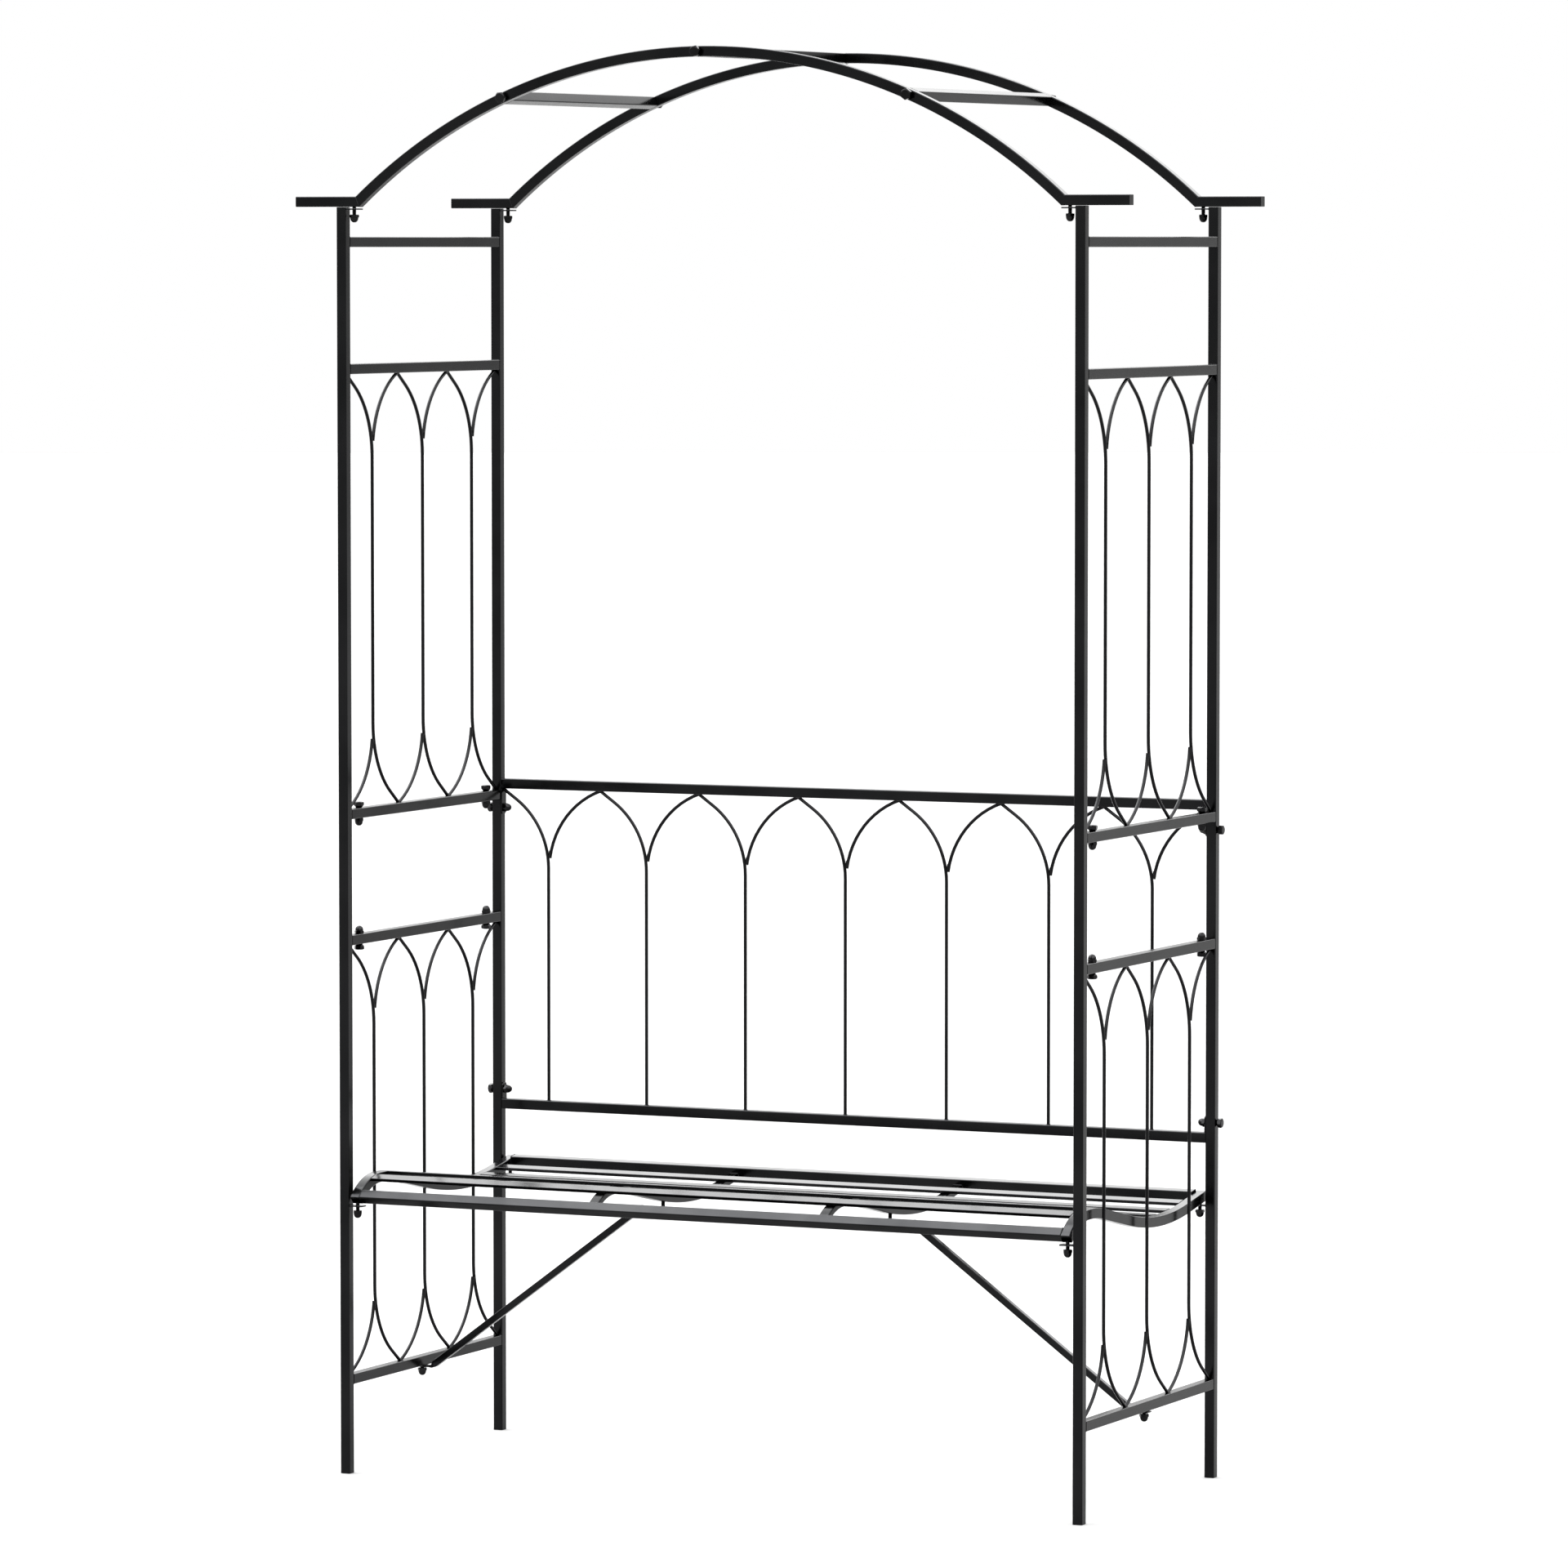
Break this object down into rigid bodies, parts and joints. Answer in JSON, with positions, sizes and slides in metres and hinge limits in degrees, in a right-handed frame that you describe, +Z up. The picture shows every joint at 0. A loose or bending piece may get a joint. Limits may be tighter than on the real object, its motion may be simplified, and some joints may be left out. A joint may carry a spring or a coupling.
{
  "type": "garden trellis arch with bench",
  "caption": "Black steel garden arch with trellis sides, a curved top and a built-in slatted bench with a trellis backrest.",
  "frame": {"origin": "on the ground, at the middle of the four posts", "axes": "+X to the right seen from the front, +Y towards the backrest, +Z up"},
  "size_m": [1.3068, 0.5246, 2.0707],
  "materials": {
    "frame": "satin black powder coat",
    "hardware": "black coated bolts and cap nuts"
  },
  "bodies": {
    "root": {"arch_back": "frame", "arch_front": "frame", "arch_stud_back_left": "hardware", "arch_stud_back_right": "hardware", "arch_stud_front_left": "hardware", "arch_stud_front_right": "hardware", "backrest_bolt_bottom_left": "hardware", "backrest_bolt_bottom_right": "hardware", "backrest_bolt_top_left": "hardware", "backrest_bolt_top_right": "hardware", "backrest_lattice": "frame", "backrest_rail_bottom": "frame", "backrest_rail_top": "frame", "brace_left": "frame", "brace_right": "frame", "brace_stud_lower_left": "hardware", "brace_stud_lower_right": "hardware", "brace_stud_upper_left": "hardware", "brace_stud_upper_right": "hardware", "crossbar_center": "frame", "crossbar_left": "frame", "crossbar_right": "frame", "post_back_left": "frame", "post_back_right": "frame", "post_front_left": "frame", "post_front_right": "frame", "seat_rail_front": "frame", "seat_rail_rear": "frame", "seat_side_rail_left": "frame", "seat_side_rail_right": "frame", "seat_slat_1": "frame", "seat_slat_2": "frame", "seat_slat_3": "frame", "seat_slat_4": "frame", "seat_slat_5": "frame", "seat_slat_6": "frame", "seat_slat_7": "frame", "seat_slat_8": "frame", "seat_slat_9": "frame", "seat_stud_back_left": "hardware", "seat_stud_back_right": "hardware", "seat_stud_front_left": "hardware", "seat_stud_front_right": "hardware", "seat_support_left": "frame", "seat_support_right": "frame", "side_lattice_lower_left": "frame", "side_lattice_lower_right": "frame", "side_lattice_upper_left": "frame", "side_lattice_upper_right": "frame", "side_rail_bottom_left": "frame", "side_rail_bottom_right": "frame", "side_rail_mid_lower_left": "frame", "side_rail_mid_lower_right": "frame", "side_rail_mid_upper_left": "frame", "side_rail_mid_upper_right": "frame", "side_rail_top_left": "frame", "side_rail_top_right": "frame", "side_rail_upper_left": "frame", "side_rail_upper_right": "frame"}
  },
  "joints": []
}
